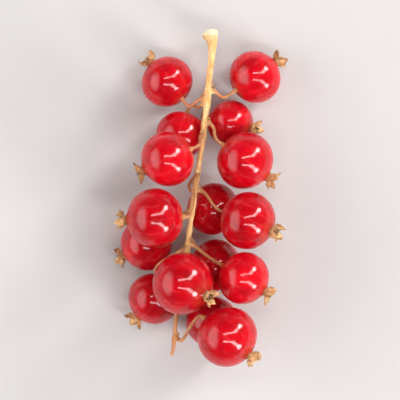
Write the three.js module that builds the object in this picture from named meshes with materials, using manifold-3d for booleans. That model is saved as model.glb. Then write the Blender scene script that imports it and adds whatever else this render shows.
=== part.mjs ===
// A sprig of redcurrants, cut off at the top of its main stem and laid down on a table.
//
// Millimetres, +Z up. The main stem runs along Y, its cut end at +Y and its tip at -Y.
// The lower berries rest on the table, the main stem lies over them, and the upper berries
// rest on both. Every berry hangs on a stalk of its own and carries a dried flower, the
// calyx, at the end away from the stalk.

import * as THREE from 'three';
import { mergeVertices } from 'three/addons/utils/BufferGeometryUtils.js';
import Module from 'manifold-3d';

const wasm = await Module();
wasm.setup();

// ---- Driving dimensions ---------------------------------------------------------------

const SPRIG_LENGTH = 56;          // cut end to tip of the main stem, along Y
const BERRY_DIAMETER = 9.8;       // a middling berry: each one's own size is a share of it
const BERRY_HEIGHT_SHARE = 0.96;  // stalk end to flower end, over the diameter

const CUT_END_DIAMETER = 2.0;     // the stem is a little swollen where it was cut
const STEM_DIAMETER = 1.6;        // just below the cut end
const STEM_TIP_DIAMETER = 0.75;
const CUT_END_FLARE = 1.6;        // length over which the swelling fades
const NODE_SWELLING = 0.16;       // added to the radius where a stalk leaves
const NODE_LENGTH = 0.9;          // of that swelling, along the stem
const STEM_DROOP = 1.3;           // the most it bends down from one sixth to the next

const STALK_DIAMETER = 0.64;
const STUB_LENGTH = 0.45;         // of the knob that a stalk grows from
const STUB_FLARE = 1.35;          // knob diameter at its root, over the stalk's
const STALK_LEAN = 32;            // degrees towards the tip, as it leaves the stem
const STALK_STRAIGHT = 0.5;       // how far a stalk runs straight at each end
const STALK_BOW = 0.12;           // room for it to bow between the points of its line

const CALYX_DIAMETER = 3.4;       // across the spread tips of the sepals
const CALYX_BASE_DIAMETER = 2.0;
const CALYX_WAIST_DIAMETER = 1.7;
const CALYX_LENGTH = 1.9;
const CALYX_WAIST = 0.3;          // heights, as shares of its length: the waist,
const CALYX_FLOOR = 0.45;         // the floor of the cup,
const CALYX_THROAT = 0.6;         // where its wall starts to spread
const CALYX_NOTCH = 0.7;          // and the notches between the sepals
const CALYX_THROAT_WIDTH = 0.85;  // inside width there, over the waist's
const SEPALS = 5;

const GAP = 0.3;                  // clearance between pieces that meet

const BERRY_SIDES = 16;
const BERRY_BANDS = 10;
const STEM_SIDES = 10;
const STEM_STEPS = 64;
const STALK_SIDES = 6;
const STALK_STEPS = 12;

// How often each layout step is repeated until the pieces have settled.
const SPREAD_PASSES = 300;
const CALYX_PASSES = 40;
const STALK_PASSES = 300;
const STALK_EASE = 0.5;           // how far a point of a stalk moves in one pass
const LOOK_STEP = 0.1;            // of a sixth of the stem, when looking for what holds it up

// Sideways sway of the main stem at every sixth of its length, in berry diameters.
const STEM_SWAY = [0.35, 0.27, 0.17, 0.01, -0.10, -0.27, -0.38];

// The berries, in the order in which their stalks leave the main stem.
// low: lies on the table; node: where the stalk leaves, as a share of the sprig's length;
// side: sideways place in berry diameters; along: place as a share of the sprig's length;
// size: share of the berry diameter; turn and tilt: degrees, where the calyx points.
const BERRIES = [
  { low: true, node: 0.160, side: 1.11, along: 0.130, size: 0.96, turn: 35, tilt: -12 },
  { low: true, node: 0.188, side: -0.47, along: 0.145, size: 0.94, turn: 130, tilt: -12 },
  { low: true, node: 0.197, side: 0.67, along: 0.277, size: 0.86, turn: -11, tilt: 20 },
  { low: true, node: 0.204, side: -0.22, along: 0.311, size: 0.90, turn: 254, tilt: 3 },
  { low: false, node: 0.262, side: 0.92, along: 0.395, size: 1.04, turn: -35, tilt: -5 },
  { low: false, node: 0.302, side: -0.45, along: 0.391, size: 0.98, turn: 203, tilt: -6 },
  { low: true, node: 0.410, side: 0.35, along: 0.545, size: 0.96, turn: -40, tilt: -16 },
  { low: false, node: 0.440, side: -0.67, along: 0.573, size: 1.06, turn: 183, tilt: -4 },
  { low: false, node: 0.470, side: 0.96, along: 0.580, size: 1.02, turn: -20, tilt: 24 },
  { low: true, node: 0.540, side: -0.84, along: 0.655, size: 0.96, turn: 205, tilt: -12 },
  { low: true, node: 0.600, side: 0.40, along: 0.721, size: 0.94, turn: -10, tilt: 0 },
  { low: false, node: 0.640, side: 0.89, along: 0.757, size: 0.94, turn: -30, tilt: 14 },
  { low: false, node: 0.662, side: -0.18, along: 0.773, size: 1.10, turn: -22, tilt: 32 },
  { low: true, node: 0.710, side: -0.71, along: 0.827, size: 0.94, turn: 228, tilt: -12 },
  { low: true, node: 0.790, side: 0.33, along: 0.898, size: 0.94, turn: -70, tilt: -10 },
  { low: false, node: 0.935, side: 0.60, along: 0.936, size: 1.08, turn: -38, tilt: 16 },
];

// ---- Materials ------------------------------------------------------------------------

const stemMaterial = new THREE.MeshStandardMaterial({ color: 0xd8b878, roughness: 0.6, metalness: 0 });
const stalkMaterial = new THREE.MeshStandardMaterial({ color: 0xc9a070, roughness: 0.6, metalness: 0 });
const berryMaterial = new THREE.MeshStandardMaterial({ color: 0xc8141f, roughness: 0.15, metalness: 0 });
const calyxMaterial = new THREE.MeshStandardMaterial({ color: 0x8a6238, roughness: 0.85, metalness: 0 });

// ---- Laying the pieces out ------------------------------------------------------------
// While the sprig is laid out, every piece is stood in for by balls: a berry and a calyx by
// one each, the main stem and a stalk by a row of them.

const upward = new THREE.Vector3(0, 1, 0);

function ball(centre, radius) {
  return { centre, radius };
}

function placeOnSprig(side, along) {
  return { x: side * BERRY_DIAMETER, y: (0.5 - along) * SPRIG_LENGTH };
}

// The height at which a ball laid down at x, y comes to rest on the table and the others.
function restingHeight(x, y, radius, others) {
  let height = radius;
  for (const other of others) {
    const reach = radius + other.radius + GAP;
    const apart = Math.hypot(x - other.centre.x, y - other.centre.y);
    if (apart < reach) {
      height = Math.max(height, other.centre.z + Math.sqrt(reach ** 2 - apart ** 2));
    }
  }
  return height;
}

// Moves the berries of one layer apart, along the table only, until every two of them clear.
function spreadLayer(layer) {
  for (let pass = 0; pass < SPREAD_PASSES; pass += 1) {
    layer.forEach((one, i) => {
      for (const other of layer.slice(i + 1)) {
        const between = new THREE.Vector2(other.centre.x - one.centre.x, other.centre.y - one.centre.y);
        const overlap = one.radius + other.radius + GAP - between.length();
        if (overlap > 0) {
          between.setLength(overlap / 2);
          one.centre.sub(new THREE.Vector3(between.x, between.y, 0));
          other.centre.add(new THREE.Vector3(between.x, between.y, 0));
        }
      }
    });
  }
}

// Lays down one layer of berries on the table and on whatever is there already.
function layBerries(berries, others) {
  const layer = berries.map((berry) => {
    const { x, y } = placeOnSprig(berry.side, berry.along);
    return ball(new THREE.Vector3(x, y, 0), berry.size * BERRY_DIAMETER / 2);
  });
  spreadLayer(layer);
  for (const { centre, radius } of layer) {
    centre.z = restingHeight(centre.x, centre.y, radius, others);
  }
  return layer;
}

function stemRadius(share) {
  const taper = THREE.MathUtils.lerp(STEM_DIAMETER, STEM_TIP_DIAMETER, share) / 2;
  const flare = (CUT_END_DIAMETER - STEM_DIAMETER) / 2 * Math.exp(-share * SPRIG_LENGTH / CUT_END_FLARE);
  const swelling = BERRIES.reduce((sum, berry) => {
    const apart = (share - berry.node) * SPRIG_LENGTH / (NODE_LENGTH / 2);
    return sum + NODE_SWELLING * Math.exp(-(apart ** 2));
  }, 0);
  return taper + flare + Math.min(swelling, NODE_SWELLING);
}

// The main stem lies on the berries under it. It is stiff, so it takes its height from the
// highest support within one station either way, and droops only a little past them.
function layStem(supports) {
  const stations = STEM_SWAY.length - 1;
  const heights = STEM_SWAY.map((sway, i) => {
    let height = 0;
    for (let near = Math.max(0, i - 1); near <= Math.min(stations, i + 1); near += LOOK_STEP) {
      const low = Math.floor(near);
      const high = Math.min(low + 1, stations);
      const side = THREE.MathUtils.lerp(STEM_SWAY[low], STEM_SWAY[high], near - low);
      const { x, y } = placeOnSprig(side, near / stations);
      height = Math.max(height, restingHeight(x, y, stemRadius(near / stations), supports));
    }
    return height;
  });
  for (let i = 1; i <= stations; i += 1) {
    heights[i] = Math.max(heights[i], heights[i - 1] - STEM_DROOP);
  }
  for (let i = stations - 1; i >= 0; i -= 1) {
    heights[i] = Math.max(heights[i], heights[i + 1] - STEM_DROOP);
  }
  const points = STEM_SWAY.map((sway, i) => {
    const { x, y } = placeOnSprig(sway, i / stations);
    return new THREE.Vector3(x, y, heights[i]);
  });
  return new THREE.CatmullRomCurve3(points);
}

// Moves a point of a piece out of every ball that it comes too near to.
function pushClear(point, radius, others) {
  for (const other of others) {
    const away = point.clone().sub(other.centre);
    const reach = radius + other.radius + GAP;
    if (away.length() < reach) {
      point.copy(other.centre).addScaledVector(away.normalize(), reach);
    }
  }
  point.z = Math.max(point.z, radius + GAP);
}

// The direction in which a berry's calyx points, turned away from whatever is in its way.
function calyxDirection(berry, body, others) {
  const turn = THREE.MathUtils.degToRad(berry.turn);
  const tilt = THREE.MathUtils.degToRad(berry.tilt);
  const level = Math.cos(tilt);
  const direction = new THREE.Vector3(level * Math.cos(turn), level * Math.sin(turn), Math.sin(tilt));
  const reach = body.radius + GAP + CALYX_LENGTH * CALYX_THROAT;
  const radius = Math.hypot(CALYX_LENGTH * (1 - CALYX_THROAT), CALYX_DIAMETER / 2);
  for (let pass = 0; pass < CALYX_PASSES; pass += 1) {
    const middle = body.centre.clone().addScaledVector(direction, reach);
    pushClear(middle, radius, others);
    direction.copy(middle).sub(body.centre).normalize();
  }
  const middle = body.centre.clone().addScaledVector(direction, reach);
  return { direction, calyxBall: ball(middle, radius) };
}

// The line of a stalk, from the main stem's knob to the seat on its berry: straight at both
// ends, sprung between them like a thin rod, and bent round what it passes.
function layStalk(start, startDirection, end, endDirection, others) {
  const bendStart = start.clone().addScaledVector(startDirection, STALK_STRAIGHT);
  const bendEnd = end.clone().addScaledVector(endDirection, STALK_STRAIGHT);
  const reach = bendStart.distanceTo(bendEnd) / 2;
  const bend = new THREE.CubicBezierCurve3(
    bendStart,
    bendStart.clone().addScaledVector(startDirection, reach),
    bendEnd.clone().addScaledVector(endDirection, reach),
    bendEnd,
  );
  const points = [start, ...bend.getSpacedPoints(STALK_STEPS - 2), end];
  for (let pass = 0; pass < STALK_PASSES; pass += 1) {
    for (let i = 2; i < points.length - 2; i += 1) {
      const unbent = points[i - 1].clone().add(points[i + 1]).multiplyScalar(4)
        .sub(points[i - 2]).sub(points[i + 2]).divideScalar(6);
      points[i].lerp(unbent, STALK_EASE);
      pushClear(points[i], STALK_DIAMETER / 2 + STALK_BOW, others);
    }
  }
  return new THREE.CatmullRomCurve3(points);
}

// ---- Solids ---------------------------------------------------------------------------

function toManifold(geometry) {
  const bare = geometry.index ? geometry.toNonIndexed() : geometry.clone();
  bare.deleteAttribute('normal');
  bare.deleteAttribute('uv');
  const merged = mergeVertices(bare, 1e-4);
  return new wasm.Manifold(new wasm.Mesh({
    numProp: 3,
    vertProperties: new Float32Array(merged.attributes.position.array),
    triVerts: new Uint32Array(merged.index.array),
  }));
}

function fromManifold(solid) {
  const mesh = solid.getMesh();
  const geometry = new THREE.BufferGeometry();
  geometry.setAttribute('position', new THREE.BufferAttribute(mesh.vertProperties, 3));
  geometry.setIndex(new THREE.BufferAttribute(mesh.triVerts, 1));
  geometry.computeVertexNormals();
  return geometry;
}

// A round bar along a curve. radiusAt gives its radius at a share of the curve's length.
function bar(curve, sides, steps, radiusAt) {
  const drawn = radiusAt(0.5);
  const corners = [];
  for (let i = 0; i < sides; i += 1) {
    const angle = i / sides * 2 * Math.PI;
    corners.push(new THREE.Vector2(drawn * Math.cos(angle), drawn * Math.sin(angle)));
  }
  const geometry = new THREE.ExtrudeGeometry(new THREE.Shape(corners), { steps, extrudePath: curve });
  const stations = curve.getSpacedPoints(steps);
  const spot = new THREE.Vector3();
  const places = geometry.attributes.position;
  for (let i = 0; i < places.count; i += 1) {
    spot.fromBufferAttribute(places, i);
    const nearest = stations.reduce((best, station, at) => (
      station.distanceTo(spot) < stations[best].distanceTo(spot) - 1e-6 ? at : best), 0);
    spot.sub(stations[nearest]).multiplyScalar(radiusAt(nearest / steps) / drawn).add(stations[nearest]);
    places.setXYZ(i, spot.x, spot.y, spot.z);
  }
  return geometry;
}

// A berry stands on Y: stalk end down, flower end up, with a small flat seat at each end.
function berrySeats(radius) {
  const height = radius * BERRY_HEIGHT_SHARE;
  const stalkSeat = STALK_DIAMETER / 2 + GAP;
  const calyxSeat = CALYX_BASE_DIAMETER / 2 + GAP / 2;
  const stalkAngle = Math.acos(stalkSeat / radius);
  const calyxAngle = Math.acos(calyxSeat / radius);
  return {
    height,
    stalkAngle,
    calyxAngle,
    stalkFace: height * Math.sin(stalkAngle),
    calyxFace: height * Math.sin(calyxAngle),
  };
}

function berryGeometry(radius) {
  const seats = berrySeats(radius);
  const profile = [new THREE.Vector2(0, -seats.stalkFace)];
  for (let i = 0; i <= BERRY_BANDS; i += 1) {
    const angle = THREE.MathUtils.lerp(-seats.stalkAngle, seats.calyxAngle, i / BERRY_BANDS);
    profile.push(new THREE.Vector2(radius * Math.cos(angle), seats.height * Math.sin(angle)));
  }
  profile.push(new THREE.Vector2(0, seats.calyxFace));
  return new THREE.LatheGeometry(profile, BERRY_SIDES);
}

// The dried flower: a little cup whose rim runs out into pointed sepals. It stands on Y.
function calyxGeometry() {
  const baseRadius = CALYX_BASE_DIAMETER / 2;
  const waistRadius = CALYX_WAIST_DIAMETER / 2;
  const tipRadius = CALYX_DIAMETER / 2;
  const profile = [
    new THREE.Vector2(0, 0),
    new THREE.Vector2(baseRadius, 0),
    new THREE.Vector2(waistRadius, CALYX_LENGTH * CALYX_WAIST),
    new THREE.Vector2(tipRadius, CALYX_LENGTH),
    new THREE.Vector2(waistRadius * CALYX_THROAT_WIDTH, CALYX_LENGTH * CALYX_THROAT),
    new THREE.Vector2(0, CALYX_LENGTH * CALYX_FLOOR),
  ];
  const rim = 3;
  const geometry = new THREE.LatheGeometry(profile, 2 * SEPALS);
  const places = geometry.attributes.position;
  for (let i = 0; i < places.count; i += 1) {
    const onRim = i % profile.length === rim;
    const column = Math.floor(i / profile.length);
    if (onRim && column % 2 === 1) {
      const inward = baseRadius / tipRadius;
      places.setXYZ(i, places.getX(i) * inward, CALYX_LENGTH * CALYX_NOTCH, places.getZ(i) * inward);
    }
  }
  return geometry;
}

function stemGeometry(curve, knobs) {
  let solid = toManifold(bar(curve, STEM_SIDES, STEM_STEPS, stemRadius));
  for (const knob of knobs) {
    const length = knob.root.distanceTo(knob.end);
    const root = STALK_DIAMETER / 2 * STUB_FLARE;
    const cone = new THREE.CylinderGeometry(STALK_DIAMETER / 2, root, length, STALK_SIDES);
    cone.translate(0, length / 2, 0);
    cone.applyQuaternion(new THREE.Quaternion().setFromUnitVectors(upward, knob.direction));
    cone.translate(knob.root.x, knob.root.y, knob.root.z);
    solid = solid.add(toManifold(cone));
  }
  return fromManifold(solid);
}

function addMesh(group, name, geometry, material) {
  const mesh = new THREE.Mesh(geometry, material);
  mesh.name = name;
  group.add(mesh);
  return mesh;
}

// ---- Building the sprig ---------------------------------------------------------------

const lowBerries = BERRIES.filter((berry) => berry.low);
const highBerries = BERRIES.filter((berry) => !berry.low);

const lowBodies = layBerries(lowBerries, []);
const stemCurve = layStem(lowBodies);
const stemBalls = stemCurve.getSpacedPoints(2 * SPRIG_LENGTH).map((point, i) => (
  ball(point, stemRadius(i / (2 * SPRIG_LENGTH)))));
const highBodies = layBerries(highBerries, [...lowBodies, ...stemBalls]);

const bodies = BERRIES.map((berry) => (
  berry.low ? lowBodies[lowBerries.indexOf(berry)] : highBodies[highBerries.indexOf(berry)]));
const laid = [...lowBodies, ...stemBalls, ...highBodies];

const calyxes = BERRIES.map((berry, i) => (
  calyxDirection(berry, bodies[i], laid.filter((other) => other !== bodies[i]))));
const calyxBalls = calyxes.map((calyx) => calyx.calyxBall);

const sprig = new THREE.Group();
const stalkLean = THREE.MathUtils.degToRad(STALK_LEAN);
const knobs = [];
const stalkBalls = [];

BERRIES.forEach((berry, i) => {
  const number = String(i + 1).padStart(2, '0');
  const { centre, radius } = bodies[i];
  const { direction } = calyxes[i];
  const seats = berrySeats(radius);
  const stand = new THREE.Quaternion().setFromUnitVectors(upward, direction);

  const body = addMesh(sprig, `berry_${number}`, berryGeometry(radius), berryMaterial);
  body.position.copy(centre);
  body.quaternion.copy(stand);

  const calyx = addMesh(sprig, `calyx_${number}`, calyxGeometry(), calyxMaterial);
  calyx.position.copy(centre).addScaledVector(direction, seats.calyxFace + GAP);
  calyx.quaternion.copy(stand);

  const stalkSide = direction.clone().negate();
  const end = centre.clone().addScaledVector(stalkSide, seats.stalkFace + GAP);
  const root = stemCurve.getPointAt(berry.node);
  const alongStem = stemCurve.getTangentAt(berry.node);
  const outward = end.clone().sub(root).projectOnPlane(alongStem).normalize();
  const leaving = outward.multiplyScalar(Math.cos(stalkLean))
    .addScaledVector(alongStem, Math.sin(stalkLean));
  const knobLength = stemRadius(berry.node) / Math.cos(stalkLean) + STUB_LENGTH;
  const knobEnd = root.clone().addScaledVector(leaving, knobLength);
  const start = knobEnd.clone().addScaledVector(leaving, GAP);
  knobs.push({ root, end: knobEnd, direction: leaving });

  const obstacles = [...laid, ...stalkBalls, ...calyxBalls];
  const line = layStalk(start, leaving, end, stalkSide, obstacles);
  line.getSpacedPoints(3 * STALK_STEPS).forEach((point) => {
    stalkBalls.push(ball(point, STALK_DIAMETER / 2));
  });
  const stalk = bar(line, STALK_SIDES, STALK_STEPS, () => STALK_DIAMETER / 2);
  addMesh(sprig, `stalk_${number}`, stalk, stalkMaterial);
});

addMesh(sprig, 'main_stem', stemGeometry(stemCurve, knobs), stemMaterial);

// The sprig lies centred over the origin, its lowest berries on z = 0.
sprig.updateMatrixWorld(true);
const bounds = new THREE.Box3().setFromObject(sprig, true);
const middle = bounds.getCenter(new THREE.Vector3());
sprig.position.set(-middle.x, -middle.y, -bounds.min.z);

export default sprig;
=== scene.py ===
import math
import random

import bpy
import numpy as np
from mathutils import Matrix, Quaternion, Vector, noise


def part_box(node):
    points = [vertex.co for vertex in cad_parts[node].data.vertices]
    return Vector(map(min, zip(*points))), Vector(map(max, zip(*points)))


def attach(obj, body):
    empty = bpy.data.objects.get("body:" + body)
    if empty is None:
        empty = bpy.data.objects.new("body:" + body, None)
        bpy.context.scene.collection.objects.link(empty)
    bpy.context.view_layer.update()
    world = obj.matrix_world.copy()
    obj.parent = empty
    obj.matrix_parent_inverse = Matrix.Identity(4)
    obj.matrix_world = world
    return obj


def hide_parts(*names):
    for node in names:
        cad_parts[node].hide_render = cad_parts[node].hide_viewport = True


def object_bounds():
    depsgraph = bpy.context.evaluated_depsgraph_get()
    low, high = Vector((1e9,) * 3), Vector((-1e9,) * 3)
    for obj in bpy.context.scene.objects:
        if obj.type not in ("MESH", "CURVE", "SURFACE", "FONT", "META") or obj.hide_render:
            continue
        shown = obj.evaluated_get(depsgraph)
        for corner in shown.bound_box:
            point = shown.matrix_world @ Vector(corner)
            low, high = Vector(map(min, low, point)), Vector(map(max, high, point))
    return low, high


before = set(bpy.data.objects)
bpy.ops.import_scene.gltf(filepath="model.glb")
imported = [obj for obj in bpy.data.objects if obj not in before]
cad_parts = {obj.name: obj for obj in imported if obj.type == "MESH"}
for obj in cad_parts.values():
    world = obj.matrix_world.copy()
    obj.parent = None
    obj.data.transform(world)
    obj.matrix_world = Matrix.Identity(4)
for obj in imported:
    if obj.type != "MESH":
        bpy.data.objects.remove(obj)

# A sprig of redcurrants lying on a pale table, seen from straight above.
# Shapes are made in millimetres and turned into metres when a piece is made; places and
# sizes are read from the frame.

cad_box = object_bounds()

MM = 0.001
BERRIES = sorted(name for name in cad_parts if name.startswith("berry_"))

# Starts of the random draws: with them fixed, every run gives the same sprig
CRUMPLE_SEED = 11
FIRST_BERRY_SEED = 1000
SCALE_LEAF_SEED = 77
noise.seed_set(CRUMPLE_SEED)

# How the CAD pieces are read
CAD_STALK_SIDES = 6
CAD_STALK_END_REACH = 0.6   # a stalk's last ring lies this near its berry's axis
CURVE_DEGREE = 8            # of the curves fitted to the main stem's middle line
STEM_REACHES = (1.6, 1.2, 1.05, 1.0)  # corners kept as the stem's own, pass by pass
CUT_END_SHARE = 0.88        # beyond this share of its half length the stem swells
CUT_FACE_SHARE = 0.995
CUT_SWELL_LENGTH = 1.5
KNOB_CORNER_SHARE = 1.12    # corners further out than this belong to knobs
KNOB_PASSES = 4

# Berry
BERRY_SIDES = 72
BERRY_BANDS = 52
NECK_HEIGHT = 0.24          # the skin rises this far into the dried flower
NECK_RADIUS = 1.0
DIMPLE_DEPTH = 0.42         # where the stalk goes in
DIMPLE_RADIUS = 0.85
LUMPS = 0.012               # share of the radius by which a berry is out of round
LUMP_SCALE = 1.1            # lumps across a berry's radius
VEINS = 13

# Dried flower
SEPALS = 5
SEPAL_LENGTH = 1.7
SEPAL_HALF_WIDTH = 0.68
SEPAL_THICKNESS = 0.13
PETAL_THICKNESS = SEPAL_THICKNESS * 0.8
LEAF_ROWS = 9
LEAF_COLUMNS = 7
LEAF_RIM = 0.45             # a leaf's thickness at its rim, as a share of its middle's
LEAF_TIP = 0.03             # half width left at a leaf's tip
CRUMPLE = 0.24
CRUMPLE_SCALE = 2.4
CUP_RADIUS = 0.86
CUP_HEIGHT = 0.5
CUP_LIP = 0.14
CUP_SIDES = 25
CUP_WAVE = 0.06
CUP_WEAR = 0.025
CUP_RIM_RISE = 0.05
THREADS = 7
THREAD_SIDES = 6
THREAD_STATIONS = 8
THREAD_FOOT_HEIGHT = 0.12

# Stems
STALK_SIDES = 14
STALK_STATIONS = 44
STALK_SLENDER = 0.86        # a stalk between its swollen ends, as a share of the CAD radius
STALK_FOOT_FLARE = 0.35     # how much thicker a stalk is where it leaves the stem
STALK_FOOT_SHARE = 0.16     # and over how much of its length
STALK_DISC_FLARE = 0.85     # the same where it meets its berry
STALK_DISC_SHARE = 0.055
STALK_DISC_PLACE = 0.94
STALK_UNEVEN = 0.12
STALK_ROOT = 0.75           # how far a stalk runs on into its knob
STALK_SOCKET = 0.95         # and into its berry
STEM_SIDES = 20
STEM_STATIONS = 260
STEM_SLENDER = 0.97
STEM_UNEVEN = 0.05
STEM_RIDGES = 5
STEM_RIDGE_DEPTH = 0.055
STEM_RIDGE_TWIST = 2.2
STEM_RIDGE_FULL = 0.6       # thinner than this radius, the ridges get shallower
STEM_SWELLING = 0.13        # beside each knob
STEM_SWELLING_LENGTH = 0.8
STEM_SWELLING_MOST = 0.2
STEM_VOXEL = 0.13
KNOB_RADIUS = 0.33
KNOB_FLARE = 1.7
KNOB_TAPER = 0.75
KNOB_SIDES = 12
KNOB_STATIONS = 10
KNOB_SLANT = 0.6            # how far back along the stem a knob starts, for its stalk's slant
KNOB_LIP = 0.1              # how far it runs on past the start of its stalk
KNOB_REACH = 1.5            # from the stem's middle line to where a stalk starts
SCALE_HALF_WIDTH = 0.38     # of the small dry leaf at each knob
SCALE_THICKNESS = 0.12
SCALE_ROWS = 6
SCALE_COLUMNS = 5
SCALE_ABOVE_KNOB = 0.5

# Table, light and camera, in metres
HALF_TABLE = 6
TABLE_GAP = 0.05            # millimetres between the table and the lowest berry
LIGHT_REACH = 2.5           # all lights are moved out, and made larger, by this
WINDOW_X = -0.4
WINDOW_Z = 0.25
WINDOW_HALF_LENGTH = 0.42
WINDOW_WIDTH = 0.5
WINDOW_GLOW = 0.62          # of each layer
WINDOW_LAYERS = 4
WINDOW_SHRINK = 0.14        # from one layer to the next, as a share of the first
WINDOW_SPACING = 0.004
STRIP_GLOW = 8.4
STRIP_END_GLOW = 10.4
STRIP_WIDTH = 0.036
STRIP_WING_WIDTH = 0.078
STRIP_END_WIDTH = 0.165
ROOM_GLOW_LOW = 0.2         # of the room's walls
ROOM_GLOW_HIGH = 0.04       # and of its ceiling
CAMERA_LENS = 200           # millimetres
CAMERA_FAR = 10
FRAME_SHARE = 0.86          # the sprig's length, as a share of the picture's height


# ---- Reading the frame ----------------------------------------------------------------

def node_net(name):
    """The corners of a CAD node in millimetres, each once, and each corner's neighbours."""
    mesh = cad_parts[name].data
    number_of = {}
    corners = []
    number = []
    for vertex in mesh.vertices:
        place = tuple(round(value / MM, 3) for value in vertex.co)
        if place not in number_of:
            number_of[place] = len(corners)
            corners.append(Vector(place))
        number.append(number_of[place])
    neighbours = [set() for _ in corners]
    for edge in mesh.edges:
        one, other = (number[v] for v in edge.vertices)
        if one != other:
            neighbours[one].add(other)
            neighbours[other].add(one)
    return corners, neighbours


def node_middle(name):
    """The middle of a CAD node's box, in millimetres."""
    low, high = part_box(name)
    return (low + high) / (2 * MM)


def berry_facts(berry):
    """Middle, axis towards the dried flower, radius and half height of a CAD berry."""
    middle = node_middle(berry)
    axis = (node_middle(berry.replace("berry", "calyx")) - middle).normalized()
    corners, _ = node_net(berry)
    along = [(corner - middle).dot(axis) for corner in corners]
    radius = max(((corner - middle) - axis * run).length for corner, run in zip(corners, along))
    return middle, axis, radius, (max(along) - min(along)) / 2


def stalk_line(stalk, berry_middle, berry_axis):
    """The middle of each ring of a CAD stalk, from the main stem to the berry."""
    corners, neighbours = node_net(stalk)
    depth = [(corner - berry_middle).dot(berry_axis) for corner in corners]
    off_axis = [((corner - berry_middle) - berry_axis * run).length
                for corner, run in zip(corners, depth)]
    near_axis = [i for i, off in enumerate(off_axis) if off < CAD_STALK_END_REACH]
    ring = sorted(near_axis, key=lambda i: -depth[i])[:CAD_STALK_SIDES]
    seen = set(ring)
    line = []
    while ring:
        line.append(sum((corners[i] for i in ring), Vector()) / len(ring))
        ring = sorted({j for i in ring for j in neighbours[i]} - seen)
        seen.update(ring)
    return line[::-1]


def fitted(shares, values, degree):
    """A smooth curve through measured values."""
    return np.polynomial.Polynomial.fit(shares, values, degree, domain=[-1, 1])


def stem_line():
    """The middle line and radius of the CAD main stem, as functions of y, and its ends."""
    corners, _ = node_net("main_stem")
    points = np.array(corners)
    y_low, y_high = points[:, 1].min(), points[:, 1].max()
    half = (y_high - y_low) / 2
    share = (points[:, 1] - y_low - half) / half
    kept = np.ones(len(points), bool)
    for allowed in STEM_REACHES:
        fit_x = fitted(share[kept], points[kept, 0], CURVE_DEGREE)
        fit_z = fitted(share[kept], points[kept, 2], CURVE_DEGREE)
        off = np.hypot(points[:, 0] - fit_x(share), points[:, 2] - fit_z(share))
        kept = off < allowed
    inner = kept & (share < CUT_END_SHARE)
    fit_radius = fitted(share[inner], off[inner], 1)
    for _ in range(KNOB_PASSES):
        inner &= off < fit_radius(share) * KNOB_CORNER_SHARE
        fit_radius = fitted(share[inner], off[inner], 1)
    cut_radius = off[share > CUT_FACE_SHARE].max()

    def middle_at(y):
        at = (y - y_low - half) / half
        return Vector((float(fit_x(at)), y, float(fit_z(at))))

    def radius_at(y):
        plain = float(fit_radius((y - y_low - half) / half))
        return plain + (cut_radius - plain) * math.exp(-(y_high - y) / CUT_SWELL_LENGTH)

    return middle_at, radius_at, float(y_low), float(y_high)


# ---- Making meshes --------------------------------------------------------------------

def make_piece(name, corners, faces, smooth=True):
    """A mesh object whose corners are given in millimetres, in the frame's axes."""
    mesh = bpy.data.meshes.new(name)
    mesh.from_pydata([tuple(Vector(corner) * MM) for corner in corners], [], faces)
    mesh.validate()
    mesh.polygons.foreach_set("use_smooth", [smooth] * len(mesh.polygons))
    mesh.update()
    piece = bpy.data.objects.new(name, mesh)
    bpy.context.scene.collection.objects.link(piece)
    return piece


def standing(middle, axis, spin):
    """The placing, in millimetres, that stands a piece's own Z along axis, at middle."""
    turn = Vector((0, 0, 1)).rotation_difference(axis) @ Quaternion((0, 0, 1), spin)
    return Matrix.Translation(middle) @ turn.to_matrix().to_4x4()


class Solids:
    """Gathers closed solids into one mesh."""

    def __init__(self):
        self.corners = []
        self.faces = []

    def add(self, corners, faces):
        first = len(self.corners)
        self.corners.extend(Vector(corner) for corner in corners)
        self.faces.extend(tuple(first + i for i in face) for face in faces)


def loft(rings):
    """A closed solid through rings of corners, its ends closed by a fan round their middles."""
    sides = len(rings[0])
    corners = [corner for ring in rings for corner in ring]
    faces = []
    for r in range(len(rings) - 1):
        for s in range(sides):
            one = r * sides + s
            two = r * sides + (s + 1) % sides
            faces.append((one, two, two + sides, one + sides))
    for ring, first, flip in ((rings[0], 0, True), (rings[-1], (len(rings) - 1) * sides, False)):
        hub = len(corners)
        corners.append(sum((Vector(corner) for corner in ring), Vector()) / sides)
        for s in range(sides):
            one, two = first + s, first + (s + 1) % sides
            faces.append((two, one, hub) if flip else (one, two, hub))
    return corners, faces


def smooth_line(points, stations):
    """Points spaced evenly along a Catmull-Rom curve through the given points."""
    padded = [points[0] * 2 - points[1], *points, points[-1] * 2 - points[-2]]
    fine = []
    steps = 12
    for i in range(1, len(padded) - 2):
        p0, p1, p2, p3 = padded[i - 1:i + 3]
        for step in range(steps):
            t = step / steps
            fine.append(0.5 * (2 * p1 + (p2 - p0) * t + (2 * p0 - 5 * p1 + 4 * p2 - p3) * t ** 2
                               + (3 * p1 - p0 - 3 * p2 + p3) * t ** 3))
    fine.append(points[-1].copy())
    run = [0.0]
    for one, two in zip(fine, fine[1:]):
        run.append(run[-1] + (two - one).length)
    line = []
    at = 0
    for station in range(stations):
        goal = run[-1] * station / (stations - 1)
        while at < len(run) - 2 and run[at + 1] < goal:
            at += 1
        share = (goal - run[at]) / max(run[at + 1] - run[at], 1e-9)
        line.append(fine[at].lerp(fine[at + 1], share))
    return line


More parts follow.
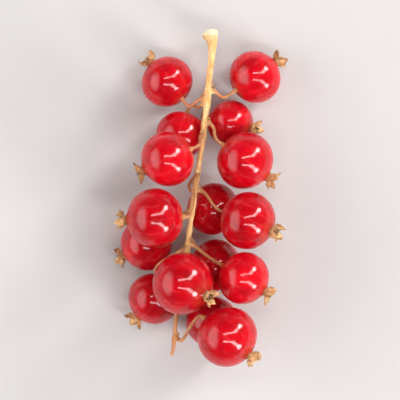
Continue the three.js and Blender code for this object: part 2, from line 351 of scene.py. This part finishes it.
def rod_rings(line, sides, radius_at):
    """Rings round a line. radius_at(share, angle) gives the radius."""
    along = (line[1] - line[0]).normalized()
    across = along.orthogonal().normalized()
    rings = []
    for i, point in enumerate(line):
        ahead = line[min(i + 1, len(line) - 1)] - line[max(i - 1, 0)]
        turn = along.rotation_difference(ahead.normalized())
        along = ahead.normalized()
        across = (turn @ across).normalized()
        up = along.cross(across)
        share = i / (len(line) - 1)
        ring = []
        for s in range(sides):
            angle = 2 * math.pi * s / sides
            radius = radius_at(share, angle)
            ring.append(point + (across * math.cos(angle) + up * math.sin(angle)) * radius)
        rings.append(ring)
    return rings


def blade(grid, thickness):
    """A closed solid from a grid of points on its middle surface, thinner at its rim."""
    rows, columns = len(grid), len(grid[0])
    corners = []
    for side in (1, -1):
        for r in range(rows):
            for c in range(columns):
                lengthwise = grid[min(r + 1, rows - 1)][c] - grid[max(r - 1, 0)][c]
                crosswise = grid[r][min(c + 1, columns - 1)] - grid[r][max(c - 1, 0)]
                normal = lengthwise.cross(crosswise)
                if normal.length < 1e-6:
                    normal = Vector((0, 0, 1))
                rim = c in (0, columns - 1) or r == rows - 1
                offset = thickness / 2 * (LEAF_RIM if rim else 1.0)
                corners.append(grid[r][c] + normal.normalized() * offset * side)
    faces = []
    below = rows * columns
    for r in range(rows - 1):
        for c in range(columns - 1):
            one = r * columns + c
            quad = (one, one + 1, one + columns + 1, one + columns)
            faces.append(quad[::-1])
            faces.append(tuple(below + i for i in quad))
    rim = list(range(columns))
    rim += [r * columns + columns - 1 for r in range(1, rows)]
    rim += [(rows - 1) * columns + c for c in range(columns - 2, -1, -1)]
    rim += [r * columns for r in range(rows - 2, 0, -1)]
    for one, two in zip(rim, rim[1:] + rim[:1]):
        faces.append((one, two, below + two, below + one))
    return corners, faces


# ---- Materials ------------------------------------------------------------------------

def put(tree, kind, settings=None, **inputs):
    """Adds a node. Inputs go by name, or by number as _0, _1: a socket is linked, a value set."""
    made = tree.nodes.new(kind)
    for name, value in (settings or {}).items():
        setattr(made, name, value)
    for name, value in inputs.items():
        socket = made.inputs[int(name[1:]) if name[0] == "_" else name.replace("_", " ")]
        if isinstance(value, bpy.types.NodeSocket):
            tree.links.new(value, socket)
        else:
            socket.default_value = value
    return made


def sums(tree, operation, one, two=0.0, three=0.0):
    """One step of arithmetic."""
    made = put(tree, "ShaderNodeMath", {"operation": operation}, _0=one, _1=two, _2=three)
    return made.outputs[0]


def between(tree, value, low, high, to_low=0.0, to_high=1.0):
    """Eases a value that runs from low to high into one that runs from to_low to to_high."""
    return put(tree, "ShaderNodeMapRange", {"interpolation_type": "SMOOTHSTEP"}, Value=value,
               From_Min=low, From_Max=high, To_Min=to_low, To_Max=to_high).outputs["Result"]


def blend_colour(tree, share, one, two):
    """Colour one where share is 0, colour two where it is 1."""
    mix = tree.nodes.new("ShaderNodeMix")
    mix.data_type = "RGBA"
    for name, value in ((0, share), (6, one), (7, two)):
        if isinstance(value, bpy.types.NodeSocket):
            tree.links.new(value, mix.inputs[name])
        else:
            mix.inputs[name].default_value = value
    return mix.outputs[2]


def colour(red, green, blue):
    """A colour as the eye names it, 0 to 255, as light amounts."""
    return tuple((c / 255 / 12.92) if c <= 10 else ((c / 255 + 0.055) / 1.055) ** 2.4
                 for c in (red, green, blue)) + (1.0,)


def new_group(name, inputs, outputs):
    """An empty node group. inputs: name, kind and first value; outputs: name and kind."""
    group = bpy.data.node_groups.new(name, "ShaderNodeTree")
    for label, kind, start in inputs:
        socket = group.interface.new_socket(name=label, in_out="INPUT", socket_type=kind)
        if start is not None:
            socket.default_value = start
    for label, kind in outputs:
        group.interface.new_socket(name=label, in_out="OUTPUT", socket_type=kind)
    entry = group.nodes.new("NodeGroupInput")
    leave = group.nodes.new("NodeGroupOutput")
    return group, entry, leave


def mottle_group():
    """Blotches of two colours, with a finer speckle inside them."""
    group, entry, leave = new_group(
        "mottle",
        [("Vector", "NodeSocketVector", None), ("Scale", "NodeSocketFloat", 1.0),
         ("Light", "NodeSocketColor", None), ("Dark", "NodeSocketColor", None),
         ("Contrast", "NodeSocketFloat", 0.2)],
        [("Color", "NodeSocketColor"), ("Mask", "NodeSocketFloat")])
    broad = put(group, "ShaderNodeTexNoise", None, Vector=entry.outputs["Vector"],
                Scale=entry.outputs["Scale"], Detail=4.0, Roughness=0.6)
    fine_scale = sums(group, "MULTIPLY", entry.outputs["Scale"], 4.3)
    fine = put(group, "ShaderNodeTexNoise", None, Vector=entry.outputs["Vector"],
               Scale=fine_scale, Detail=3.0, Roughness=0.7)
    both = sums(group, "MULTIPLY_ADD", fine.outputs["Fac"], 0.35,
                sums(group, "MULTIPLY", broad.outputs["Fac"], 0.65))
    low = sums(group, "SUBTRACT", 0.5, entry.outputs["Contrast"])
    high = sums(group, "ADD", 0.5, entry.outputs["Contrast"])
    mask = between(group, both, low, high)
    mixed = blend_colour(group, mask, entry.outputs["Light"], entry.outputs["Dark"])
    group.links.new(mixed, leave.inputs["Color"])
    group.links.new(mask, leave.inputs["Mask"])
    return group


def fibre_group():
    """Streaks along Y: a mask, and a height for bumps."""
    group, entry, leave = new_group(
        "fibres",
        [("Vector", "NodeSocketVector", None), ("Across", "NodeSocketFloat", 6.0),
         ("Along", "NodeSocketFloat", 0.4)],
        [("Mask", "NodeSocketFloat"), ("Height", "NodeSocketFloat")])
    stretch = put(group, "ShaderNodeCombineXYZ", None, X=entry.outputs["Across"],
                  Y=entry.outputs["Along"], Z=entry.outputs["Across"])
    run = put(group, "ShaderNodeVectorMath", {"operation": "MULTIPLY"},
              _0=entry.outputs["Vector"], _1=stretch.outputs[0])
    streak = put(group, "ShaderNodeTexNoise", None, Vector=run.outputs[0], Scale=1.0, Detail=5.0,
                 Roughness=0.62)
    mask = between(group, streak.outputs["Fac"], 0.36, 0.66)
    group.links.new(mask, leave.inputs["Mask"])
    group.links.new(streak.outputs["Fac"], leave.inputs["Height"])
    return group


MOTTLE = mottle_group()
FIBRES = fibre_group()


def use_group(tree, group, **inputs):
    """Adds a group to a material."""
    return put(tree, "ShaderNodeGroup", {"node_tree": group}, **inputs)


def start_material(name):
    """A material with one plain shader, and the places on its piece in millimetres."""
    material = bpy.data.materials.new(name)
    material.use_nodes = True
    tree = material.node_tree
    tree.nodes.clear()
    shader = tree.nodes.new("ShaderNodeBsdfPrincipled")
    out = tree.nodes.new("ShaderNodeOutputMaterial")
    tree.links.new(shader.outputs["BSDF"], out.inputs["Surface"])
    spot = put(tree, "ShaderNodeTexCoord")
    in_mm = put(tree, "ShaderNodeVectorMath", {"operation": "SCALE"}, Vector=spot.outputs["Object"],
                Scale=1 / MM)
    return material, tree, shader, in_mm.outputs[0]


def own_axes(tree, spot, placing):
    """Turns places in the frame into places in a piece's own axes."""
    return put(tree, "ShaderNodeMapping", {"vector_type": "TEXTURE"}, Vector=spot,
               Location=placing.to_translation(), Rotation=placing.to_euler()).outputs[0]


def bump(tree, shader, height, distance, strength):
    """Small relief in the shading. distance is its depth in millimetres."""
    made = put(tree, "ShaderNodeBump", None, Height=height, Distance=distance * MM,
               Strength=strength)
    tree.links.new(made.outputs["Normal"], shader.inputs["Normal"])


def roughen(tree, shader, value, low, high, smoothest, roughest):
    """Roughness that follows a value as it runs from low to high."""
    tree.links.new(between(tree, value, low, high, smoothest, roughest),
                   shader.inputs["Roughness"])


def let_light_in(shader, weight, radius, scale):
    """Light that enters the skin and spreads: how much, how far by colour, and the scale in mm."""
    shader.inputs["Subsurface Weight"].default_value = weight
    shader.inputs["Subsurface Radius"].default_value = radius
    shader.inputs["Subsurface Scale"].default_value = scale * MM


def berry_skin(number, placing, radius, ripeness):
    """Glossy, see-through red skin: paler veins from pole to pole, seeds showing darkly."""
    material, tree, shader, in_frame = start_material(f"berry_skin_{number}")
    spot = own_axes(tree, in_frame, placing)
    place = put(tree, "ShaderNodeSeparateXYZ", None, Vector=spot)
    shifted = put(tree, "ShaderNodeVectorMath", {"operation": "ADD"}, _0=spot,
                  _1=(ripeness * 37, ripeness * 11, ripeness * 23)).outputs[0]
    light = colour(232 - 24 * ripeness, 11 - 5 * ripeness, 32 - 6 * ripeness)
    dark = colour(194 - 22 * ripeness, 4 - 2 * ripeness, 23 - 5 * ripeness)
    body = use_group(tree, MOTTLE, Vector=shifted, Scale=0.28, Contrast=0.2, Light=light,
                     Dark=dark)

    wander = put(tree, "ShaderNodeTexNoise", None, Vector=shifted, Scale=0.55, Detail=2.0)
    angle = sums(tree, "ARCTAN2", place.outputs["Y"], place.outputs["X"])
    turn = sums(tree, "MULTIPLY_ADD", angle, VEINS / (2 * math.pi),
                sums(tree, "MULTIPLY", wander.outputs["Fac"], 0.4))
    off_vein = sums(tree, "PINGPONG", turn, 0.5)
    vein = between(tree, off_vein, 0.0, 0.12, 1.0, 0.0)
    patchy = put(tree, "ShaderNodeTexNoise", None, Vector=shifted, Scale=0.8, Detail=2.0)
    showing = between(tree, patchy.outputs["Fac"], 0.35, 0.65, 0.06, 0.38)
    vein_here = sums(tree, "MULTIPLY", vein, showing)
    veined = blend_colour(tree, vein_here, body.outputs["Color"], colour(238, 74, 80))

    lengthened = put(tree, "ShaderNodeVectorMath", {"operation": "MULTIPLY"}, _0=shifted,
                     _1=(0.36, 0.36, 0.22)).outputs[0]
    seed = put(tree, "ShaderNodeTexVoronoi", {"feature": "SMOOTH_F1"}, Vector=lengthened, Scale=1.0,
               Smoothness=0.35)
    seed_mask = between(tree, seed.outputs["Distance"], 0.18, 0.5, 0.3, 0.0)
    seeded = blend_colour(tree, seed_mask, veined, colour(128, 4, 14))

    height = sums(tree, "DIVIDE", place.outputs["Z"], radius)
    flower_end = between(tree, height, 0.8, 0.99, 0.0, 0.55)
    topped = blend_colour(tree, flower_end, seeded, colour(200, 60, 40))
    stalk_end = between(tree, height, -0.99, -0.84, 0.5, 0.0)
    ended = blend_colour(tree, stalk_end, topped, colour(214, 80, 52))
    tree.links.new(ended, shader.inputs["Base Color"])

    smear = put(tree, "ShaderNodeTexNoise", None, Vector=shifted, Scale=0.9, Detail=3.0)
    roughen(tree, shader, smear.outputs["Fac"], 0.3, 0.7, 0.25, 0.36)
    grain = put(tree, "ShaderNodeTexNoise", None, Vector=shifted, Scale=2.2, Detail=2.0)
    ripple = sums(tree, "MULTIPLY_ADD", vein_here, 0.6, grain.outputs["Fac"])
    bump(tree, shader, ripple, 0.02, 0.25)
    let_light_in(shader, 0.5, (1.0, 0.06, 0.05), 1.6)
    shader.inputs["IOR"].default_value = 1.4
    shader.inputs["Specular IOR Level"].default_value = 0.1
    shader.inputs["Coat Weight"].default_value = 0.5
    shader.inputs["Coat Roughness"].default_value = 0.03
    shader.inputs["Coat IOR"].default_value = 1.8
    return material


def stem_bark(y_low, y_high):
    """Straw-coloured, lengthwise ridged, browner towards the tip, pale on the cut end."""
    material, tree, shader, spot = start_material("stem_bark")
    place = put(tree, "ShaderNodeSeparateXYZ", None, Vector=spot)
    fibres = use_group(tree, FIBRES, Vector=spot, Across=5.5, Along=0.35)
    straw = blend_colour(tree, fibres.outputs["Mask"], colour(255, 227, 162), colour(230, 184, 122))
    blotch = use_group(tree, MOTTLE, Vector=spot, Scale=0.5, Contrast=0.12,
                       Light=colour(255, 255, 255), Dark=colour(238, 194, 150))
    mixed = put(tree, "ShaderNodeMix", {"data_type": "RGBA", "blend_type": "MULTIPLY"})
    mixed.inputs[0].default_value = 0.7
    tree.links.new(straw, mixed.inputs[6])
    tree.links.new(blotch.outputs["Color"], mixed.inputs[7])
    waist = y_low + 0.42 * (y_high - y_low)
    dried = between(tree, place.outputs["Y"], y_low, waist, 0.8, 0.0)
    toned = blend_colour(tree, dried, mixed.outputs[2], colour(200, 120, 78))
    cut = between(tree, place.outputs["Y"], y_high - 0.5, y_high - 0.2)
    ended = blend_colour(tree, cut, toned, colour(238, 220, 184))
    tree.links.new(ended, shader.inputs["Base Color"])
    roughen(tree, shader, fibres.outputs["Height"], 0.3, 0.7, 0.48, 0.68)
    bump(tree, shader, fibres.outputs["Height"], 0.12, 0.55)
    let_light_in(shader, 0.15, (1.0, 0.6, 0.3), 0.5)
    return material


def stalk_bark(number, flush_and_reflection_share):
    """Thin waxy stalk, straw green, with a pink that is partly its own flush and partly a painted
    red reflection of the berries.
    """
    material, tree, shader, spot = start_material(f"stalk_bark_{number}")
    green = colour(226, 186, 122)
    # Pink that is partly the stalk's own flush and partly a painted reflection of the red berries
    pink_flush_and_reflection = colour(228, 128, 104)
    # How much of that flush and painted reflection each stalk gets
    share = 0.2 + 0.6 * flush_and_reflection_share
    light = tuple(a + (b - a) * share for a, b in zip(green, pink_flush_and_reflection))
    blotch = use_group(tree, MOTTLE, Vector=spot, Scale=0.9, Contrast=0.2, Light=light,
                       Dark=colour(176, 112, 62))
    tree.links.new(blotch.outputs["Color"], shader.inputs["Base Color"])
    roughen(tree, shader, blotch.outputs["Mask"], 0.0, 1.0, 0.34, 0.55)
    bump(tree, shader, blotch.outputs["Mask"], 0.03, 0.4)
    let_light_in(shader, 0.2, (1.0, 0.4, 0.25), 0.4)
    return material


def dry_flower(number, placing):
    """Papery tan sepals, browner at their tips, over a dark brown middle."""
    material, tree, shader, in_frame = start_material(f"dry_flower_{number}")
    spot = own_axes(tree, in_frame, placing)
    place = put(tree, "ShaderNodeSeparateXYZ", None, Vector=spot)
    paper = use_group(tree, MOTTLE, Vector=spot, Scale=1.3, Contrast=0.15,
                      Light=colour(250, 206, 148), Dark=colour(182, 126, 76))
    x_squared = sums(tree, "MULTIPLY", place.outputs["X"], place.outputs["X"])
    y_squared = sums(tree, "MULTIPLY", place.outputs["Y"], place.outputs["Y"])
    off_axis = sums(tree, "SQRT", sums(tree, "ADD", x_squared, y_squared))
    middle = between(tree, off_axis, 0.35, 0.95, 0.85, 0.0)
    darkened = blend_colour(tree, middle, paper.outputs["Color"], colour(66, 38, 22))
    tips = between(tree, off_axis, 1.15, 1.8, 0.0, 0.6)
    tipped = blend_colour(tree, tips, darkened, colour(134, 86, 50))
    neck = between(tree, place.outputs["Z"], -0.1, 0.35, 0.75, 0.0)
    joined = blend_colour(tree, neck, tipped, colour(150, 60, 40))
    tree.links.new(joined, shader.inputs["Base Color"])
    roughen(tree, shader, paper.outputs["Mask"], 0.0, 1.0, 0.7, 0.9)
    crumple = put(tree, "ShaderNodeTexNoise", None, Vector=spot, Scale=3.5, Detail=4.0)
    bump(tree, shader, crumple.outputs["Fac"], 0.12, 0.7)
    return material


def scale_leaf():
    """The small dry leaf at the foot of each stalk."""
    material, tree, shader, spot = start_material("scale_leaf")
    dry = use_group(tree, MOTTLE, Vector=spot, Scale=1.1, Contrast=0.2,
                    Light=colour(222, 172, 112), Dark=colour(146, 98, 58))
    tree.links.new(dry.outputs["Color"], shader.inputs["Base Color"])
    roughen(tree, shader, dry.outputs["Mask"], 0.0, 1.0, 0.65, 0.85)
    bump(tree, shader, dry.outputs["Mask"], 0.05, 0.6)
    return material


def table_top():
    """Matt, pale and nearly plain."""
    material, tree, shader, spot = start_material("table_top")
    tone = use_group(tree, MOTTLE, Vector=spot, Scale=0.02, Contrast=0.4,
                     Light=colour(209, 205, 204), Dark=colour(203, 199, 198))
    tree.links.new(tone.outputs["Color"], shader.inputs["Base Color"])
    roughen(tree, shader, tone.outputs["Mask"], 0.0, 1.0, 0.85, 0.95)
    shader.inputs["Specular IOR Level"].default_value = 0.15
    return material


# ---- Pieces ---------------------------------------------------------------------------

def finish_piece(piece, node, material):
    """Gives a piece its material and puts it in the place of its CAD node."""
    piece.data.materials.append(material)
    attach(piece, "root")
    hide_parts(node)


def make_berry(number, middle, axis, radius, half_height, draw):
    """One berry: a little flattened, out of round, with a dimple and a neck at its ends."""
    seed_place = Vector((draw.uniform(-50, 50), draw.uniform(-50, 50), draw.uniform(-50, 50)))
    corners = []
    for band in range(BERRY_BANDS + 1):
        polar = math.pi * band / BERRY_BANDS
        for side in range(BERRY_SIDES):
            angle = 2 * math.pi * side / BERRY_SIDES
            ray = Vector((math.sin(polar) * math.cos(angle), math.sin(polar) * math.sin(angle),
                          -math.cos(polar)))
            lump = noise.noise(ray * LUMP_SCALE + seed_place) - 0.5
            size = 1 + LUMPS * lump
            corner = Vector((ray.x * radius, ray.y * radius, ray.z * half_height)) * size
            off_axis = math.hypot(corner.x, corner.y)
            if ray.z < 0:
                corner.z += DIMPLE_DEPTH * math.exp(-(off_axis / DIMPLE_RADIUS) ** 2)
            else:
                corner.z += NECK_HEIGHT * math.exp(-(off_axis / NECK_RADIUS) ** 4)
            corners.append(corner)
            if band in (0, BERRY_BANDS):
                break
    faces = []
    first = 1
    last = len(corners) - 1
    for side in range(BERRY_SIDES):
        after = (side + 1) % BERRY_SIDES
        faces.append((0, first + after, first + side))
        top = last - BERRY_SIDES
        faces.append((last, top + side, top + after))
    for band in range(BERRY_BANDS - 2):
        for side in range(BERRY_SIDES):
            one = first + band * BERRY_SIDES + side
            two = first + band * BERRY_SIDES + (side + 1) % BERRY_SIDES
            faces.append((one, two, two + BERRY_SIDES, one + BERRY_SIDES))
    name = f"ripe_berry_{number}"
    placing = standing(middle, axis, draw.uniform(0, 2 * math.pi))
    piece = make_piece(name, [placing @ corner for corner in corners], faces)
    skin = berry_skin(number, placing, half_height, draw.random())
    finish_piece(piece, f"berry_{number}", skin)


def sepal_grid(angle, draw):
    """The middle surface of one withered sepal, from the cup's rim to its curled tip."""
    length = SEPAL_LENGTH * draw.uniform(0.75, 1.1)
    lean_start = math.radians(draw.uniform(0, 30))
    lean_end = math.radians(draw.choice((draw.uniform(75, 130), draw.uniform(10, 60))))
    return leaf_grid(angle, CUP_RADIUS * 0.92, CUP_HEIGHT * 0.75, length, SEPAL_HALF_WIDTH,
                     lean_start, lean_end, draw.uniform(-0.6, 0.6), draw.uniform(0.2, 0.7), draw)


def petal_grid(angle, draw):
    """The middle surface of one of the small petals that stand inside the sepals."""
    length = SEPAL_LENGTH * draw.uniform(0.4, 0.65)
    return leaf_grid(angle, CUP_RADIUS * 0.6, CUP_HEIGHT * 0.6, length, SEPAL_HALF_WIDTH * 0.5,
                     math.radians(draw.uniform(-15, 10)), math.radians(draw.uniform(-30, 50)),
                     draw.uniform(-0.8, 0.8), draw.uniform(0.2, 0.6), draw)


def leaf_grid(angle, foot_radius, foot_height, length, half_width, lean_start, lean_end, twist,
              cupping, draw):
    """A withered leaf that leans out from a ring. lean: 0 stands up, half a turn hangs down."""
    outward = Vector((math.cos(angle), math.sin(angle), 0))
    sideways = Vector((-math.sin(angle), math.cos(angle), 0))
    place = outward * foot_radius + Vector((0, 0, foot_height))
    shift = Vector((draw.uniform(-9, 9), draw.uniform(-9, 9), 0))
    grid = []
    for r in range(LEAF_ROWS):
        share = r / (LEAF_ROWS - 1)
        lean = lean_start + (lean_end - lean_start) * share ** 1.3
        along = outward * math.sin(lean) + Vector((0, 0, math.cos(lean)))
        if r:
            place = place + along * length / (LEAF_ROWS - 1)
        facing = sideways.cross(along)
        belly = 0.85 + 0.3 * math.sin(math.pi * share)
        half = half_width * (1 - share ** 2.2) ** 0.8 * belly + LEAF_TIP
        row = []
        for c in range(LEAF_COLUMNS):
            across = 2 * c / (LEAF_COLUMNS - 1) - 1
            turn = twist * share
            offset = sideways * math.cos(turn) + facing * math.sin(turn)
            lift = facing * cupping * across ** 2 * half
            point = place + offset * across * half + lift
            crumple = noise.noise_vector(point * CRUMPLE_SCALE + shift) * CRUMPLE * share ** 0.5
            row.append(point + crumple)
        grid.append(row)
    return grid


def make_flower(number, middle, axis, draw):
    """The dried flower: a cup, shrivelled sepals and petals, and threads in the middle."""
    solids = Solids()
    cup = [(0.98, -0.45), (0.9, -0.1), (0.78, 0.12), (0.8, 0.32), (CUP_RADIUS, CUP_HEIGHT),
           (CUP_RADIUS - CUP_LIP, CUP_HEIGHT), (0.6, 0.3), (0.25, 0.2)]
    rings = []
    for radius, height in cup:
        ring = []
        for side in range(CUP_SIDES):
            angle = 2 * math.pi * side / CUP_SIDES
            wavy = 1 + CUP_WAVE * math.cos(SEPALS * angle) + draw.uniform(-CUP_WEAR, CUP_WEAR)
            rise = CUP_RIM_RISE * math.sin(2 * SEPALS * angle) * (height > CUP_HEIGHT / 2)
            ring.append(Vector((math.cos(angle) * radius * wavy, math.sin(angle) * radius * wavy,
                                height + rise)))
        rings.append(ring)
    solids.add(*loft(rings))
    for sepal in range(SEPALS):
        angle = 2 * math.pi * sepal / SEPALS + draw.uniform(-0.15, 0.15)
        solids.add(*blade(sepal_grid(angle, draw), SEPAL_THICKNESS))
        solids.add(*blade(petal_grid(angle + math.pi / SEPALS, draw), PETAL_THICKNESS))
    for _ in range(THREADS):
        angle = draw.uniform(0, 2 * math.pi)
        foot = Vector((math.cos(angle), math.sin(angle), 0)) * draw.uniform(0.05, 0.45)
        reach = Vector((draw.uniform(-0.45, 0.45), draw.uniform(-0.45, 0.45),
                        draw.uniform(0.7, 1.4)))
        bend = Vector((draw.uniform(-0.25, 0.25), draw.uniform(-0.25, 0.25), 0))
        foot.z = THREAD_FOOT_HEIGHT
        line = smooth_line([foot, foot + reach * 0.5 + bend, foot + reach], THREAD_STATIONS)
        thick = draw.uniform(0.07, 0.12)
        rings = rod_rings(line, THREAD_SIDES, lambda share, _: thick * (1 - 0.5 * share))
        solids.add(*loft(rings))
    placing = standing(middle, axis, draw.uniform(0, 2 * math.pi))
    piece = make_piece(f"dried_flower_{number}", [placing @ corner for corner in solids.corners],
                       solids.faces)
    finish_piece(piece, f"calyx_{number}", dry_flower(number, placing))


def make_stalk(number, line, axis, radius, draw):
    """A stalk along its CAD line, run on into the knob at one end and the berry at the other."""
    into_stem = (line[0] - line[1]).normalized()
    run_on = [line[0] + into_stem * STALK_ROOT, *line, line[-1] + axis * STALK_SOCKET / 2,
              line[-1] + axis * STALK_SOCKET]
    smooth = smooth_line(run_on, STALK_STATIONS)
    shift = draw.uniform(-40, 40)

    def radius_at(share, angle):
        foot = STALK_FOOT_FLARE * math.exp(-(share / STALK_FOOT_SHARE) ** 2)
        disc = STALK_DISC_FLARE * math.exp(-((share - STALK_DISC_PLACE) / STALK_DISC_SHARE) ** 2)
        lump = noise.noise(Vector((math.cos(angle), math.sin(angle), share * 9 + shift)))
        return radius * (STALK_SLENDER + foot + disc + STALK_UNEVEN * lump)

    piece = make_piece(f"berry_stalk_{number}", *loft(rod_rings(smooth, STALK_SIDES, radius_at)))
    finish_piece(piece, f"stalk_{number}", stalk_bark(number, draw.random()))


def make_main_stem(stalk_feet):
    """The ridged main stem with a knob under every stalk, grown together as one."""
    middle_at, radius_at, y_low, y_high = stem_line()
    line = [middle_at(y_high + (y_low - y_high) * i / (STEM_STATIONS - 1))
            for i in range(STEM_STATIONS)]

    def ridged(share, angle):
        y = y_high + (y_low - y_high) * share
        plain = radius_at(y)
        wave = math.cos(STEM_RIDGES * (angle + share * STEM_RIDGE_TWIST))
        ridge = STEM_RIDGE_DEPTH * wave * min(1, plain / STEM_RIDGE_FULL)
        lump = noise.noise(Vector((math.cos(angle) * 0.7, math.sin(angle) * 0.7, y * 0.45)))
        swelling = sum(STEM_SWELLING * math.exp(-((y - foot.y) / STEM_SWELLING_LENGTH) ** 2)
                       for foot, _ in stalk_feet)
        return (plain * STEM_SLENDER + ridge + STEM_UNEVEN * lump
                + min(swelling, STEM_SWELLING_MOST))

    def knobbly(share, _):
        return KNOB_RADIUS * (KNOB_FLARE - KNOB_TAPER * share)

    solids = Solids()
    solids.add(*loft(rod_rings(line, STEM_SIDES, ridged)))
    for foot, direction in stalk_feet:
        root = middle_at(foot.y - direction.y * KNOB_SLANT)
        knob = smooth_line([root, root.lerp(foot, 0.6), foot + direction * KNOB_LIP],
                           KNOB_STATIONS)
        solids.add(*loft(rod_rings(knob, KNOB_SIDES, knobbly)))
    piece = make_piece("strig", solids.corners, solids.faces)
    grow = piece.modifiers.new("grown_together", "REMESH")
    grow.mode = "VOXEL"
    grow.voxel_size = STEM_VOXEL * MM
    grow.use_smooth_shade = True
    ease = piece.modifiers.new("eased", "SMOOTH")
    ease.factor = 0.5
    ease.iterations = 3
    bpy.context.view_layer.update()
    shown = piece.evaluated_get(bpy.context.evaluated_depsgraph_get())
    grown = bpy.data.meshes.new_from_object(shown)
    piece.modifiers.clear()
    piece.data = grown
    grown.materials.clear()
    finish_piece(piece, "main_stem", stem_bark(y_low, y_high))
    return middle_at, radius_at


def make_scale_leaves(stalk_feet, middle_at, radius_at, draw):
    """A small dry leaf above the foot of each stalk, growing out of the stem's skin."""
    toward_cut = Vector((0, 1, 0))
    solids = Solids()
    for foot, direction in stalk_feet:
        root = foot - direction * KNOB_REACH
        outward = direction - toward_cut * direction.y
        outward.normalize()
        side = outward.cross(toward_cut).normalized()
        length = draw.uniform(0.6, 1.05)
        lean = draw.uniform(0.4, 0.9)
        height = root.y + SCALE_ABOVE_KNOB
        skin = middle_at(height) + outward * radius_at(height) * 0.8
        base = skin + side * draw.uniform(-0.2, 0.2)
        grid = []
        for r in range(SCALE_ROWS):
            share = r / (SCALE_ROWS - 1)
            spine = base + outward * length * share - toward_cut * length * lean * share ** 1.6
            half = SCALE_HALF_WIDTH * (1 - share ** 2) ** 0.8 + LEAF_TIP
            row = []
            for c in range(SCALE_COLUMNS):
                across = 2 * c / (SCALE_COLUMNS - 1) - 1
                row.append(spine + side * across * half - toward_cut * across ** 2 * half)
            grid.append(row)
        solids.add(*blade(grid, SCALE_THICKNESS))
    piece = make_piece("scale_leaves", solids.corners, solids.faces)
    piece.data.materials.append(scale_leaf())
    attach(piece, "root")


feet = []
for berry in BERRIES:
    number = berry.split("_")[1]
    draw = random.Random(FIRST_BERRY_SEED + int(number))
    middle, axis, radius, half_height = berry_facts(berry)
    make_berry(number, middle, axis, radius, half_height, draw)
    make_flower(number, middle + axis * (half_height + NECK_HEIGHT * 0.5), axis, draw)
    line = stalk_line(f"stalk_{number}", middle, axis)
    corners, _ = node_net(f"stalk_{number}")
    stalk_radius = min((corner - line[-1]).length for corner in corners)
    make_stalk(number, line, axis, stalk_radius, draw)
    feet.append((line[0], (line[1] - line[0]).normalized()))

stem_middle, stem_radius = make_main_stem(feet)
make_scale_leaves(feet, stem_middle, stem_radius, random.Random(SCALE_LEAF_SEED))


# ---- Table, light and camera ----------------------------------------------------------

low_corner, high_corner = (Vector(corner) for corner in cad_box)
centre = (low_corner + high_corner) / 2
length = high_corner.y - low_corner.y

table_corners = [(x * HALF_TABLE / MM, y * HALF_TABLE / MM, -TABLE_GAP)
                 for x, y in ((-1, -1), (1, -1), (1, 1), (-1, 1))]
table = make_piece("table", table_corners, [(0, 1, 2, 3)], smooth=False)
table.data.materials.append(table_top())


def area_light(name, middle, lengthwise, across, size_along, size_across, glow, shape):
    """A soft flat light whose face looks at the sprig. glow is the brightness of its face."""
    data = bpy.data.lights.new(name, "AREA")
    data.shape = shape
    data.size = size_along
    data.size_y = size_across
    area = size_along * size_across * (math.pi / 4 if shape == "ELLIPSE" else 1)
    data.energy = glow * math.pi * area
    lamp = bpy.data.objects.new(name, data)
    lamp.rotation_mode = "QUATERNION"
    lamp.location = middle
    facing = lengthwise.cross(across).normalized()
    lamp.rotation_quaternion = Matrix((lengthwise, across, facing)).transposed().to_quaternion()
    bpy.context.scene.collection.objects.link(lamp)


def strip_light(name, start, end, width, glow, shape="RECTANGLE"):
    """A light from one place to another, turned towards the sprig, moved out by LIGHT_REACH."""
    start = Vector(start) * LIGHT_REACH + centre
    end = Vector(end) * LIGHT_REACH + centre
    middle = (start + end) / 2
    lengthwise = (end - start).normalized()
    across = (middle - centre).cross(lengthwise).normalized()
    area_light(name, middle, lengthwise, across, (end - start).length, width * LIGHT_REACH,
               glow, shape)


# A soft window at the left, of ovals over each other, brightest where they all lie
for layer in range(WINDOW_LAYERS):
    share = 1 - WINDOW_SHRINK * layer
    window_x = WINDOW_X - WINDOW_SPACING * layer
    half_window = WINDOW_HALF_LENGTH * share
    strip_light(f"window_{layer}", (window_x, -half_window, WINDOW_Z),
                (window_x, half_window, WINDOW_Z), WINDOW_WIDTH * share, WINDOW_GLOW, "ELLIPSE")

# Two thin strips overhead that spread apart to the right, brightest at their ends
strip_light("upper_strip", (-0.07, 0.062, 0.30), (0.18, 0.10, 0.30), STRIP_WIDTH, STRIP_GLOW)
strip_light("upper_strip_wing", (0.17, 0.095, 0.30), (0.44, 0.36, 0.21), STRIP_WING_WIDTH,
            STRIP_GLOW)
strip_light("upper_strip_end", (0.30, 0.22, 0.26), (0.50, 0.42, 0.16), STRIP_END_WIDTH,
            STRIP_END_GLOW, "ELLIPSE")
strip_light("lower_strip", (-0.07, -0.085, 0.30), (0.14, -0.11, 0.30), STRIP_WIDTH, STRIP_GLOW)
strip_light("lower_strip_wing", (0.13, -0.105, 0.30), (0.44, -0.36, 0.20), STRIP_WING_WIDTH,
            STRIP_GLOW)
strip_light("lower_strip_end", (0.30, -0.24, 0.25), (0.50, -0.42, 0.15), STRIP_END_WIDTH,
            STRIP_END_GLOW, "ELLIPSE")

world = bpy.data.worlds.new("studio")
bpy.context.scene.world = world
world.use_nodes = True
room = world.node_tree
room_light = room.nodes["Background"]
room_light.inputs["Color"].default_value = (1, 1, 1, 1)
outlook = put(room, "ShaderNodeTexCoord").outputs["Generated"]
upward = put(room, "ShaderNodeSeparateXYZ", None, Vector=outlook).outputs["Z"]
room.links.new(between(room, upward, 0.1, 0.7, ROOM_GLOW_LOW, ROOM_GLOW_HIGH),
               room_light.inputs["Strength"])

camera_data = bpy.data.cameras.new("camera")
camera = bpy.data.objects.new("camera", camera_data)
bpy.context.scene.collection.objects.link(camera)
camera_data.lens = CAMERA_LENS
camera_data.clip_end = CAMERA_FAR
distance = length / FRAME_SHARE * camera_data.lens / camera_data.sensor_width
camera.location = (centre.x, centre.y, high_corner.z + distance)
camera.rotation_euler = (0, 0, 0)
bpy.context.scene.camera = camera
bpy.context.scene.view_settings.view_transform = "Standard"
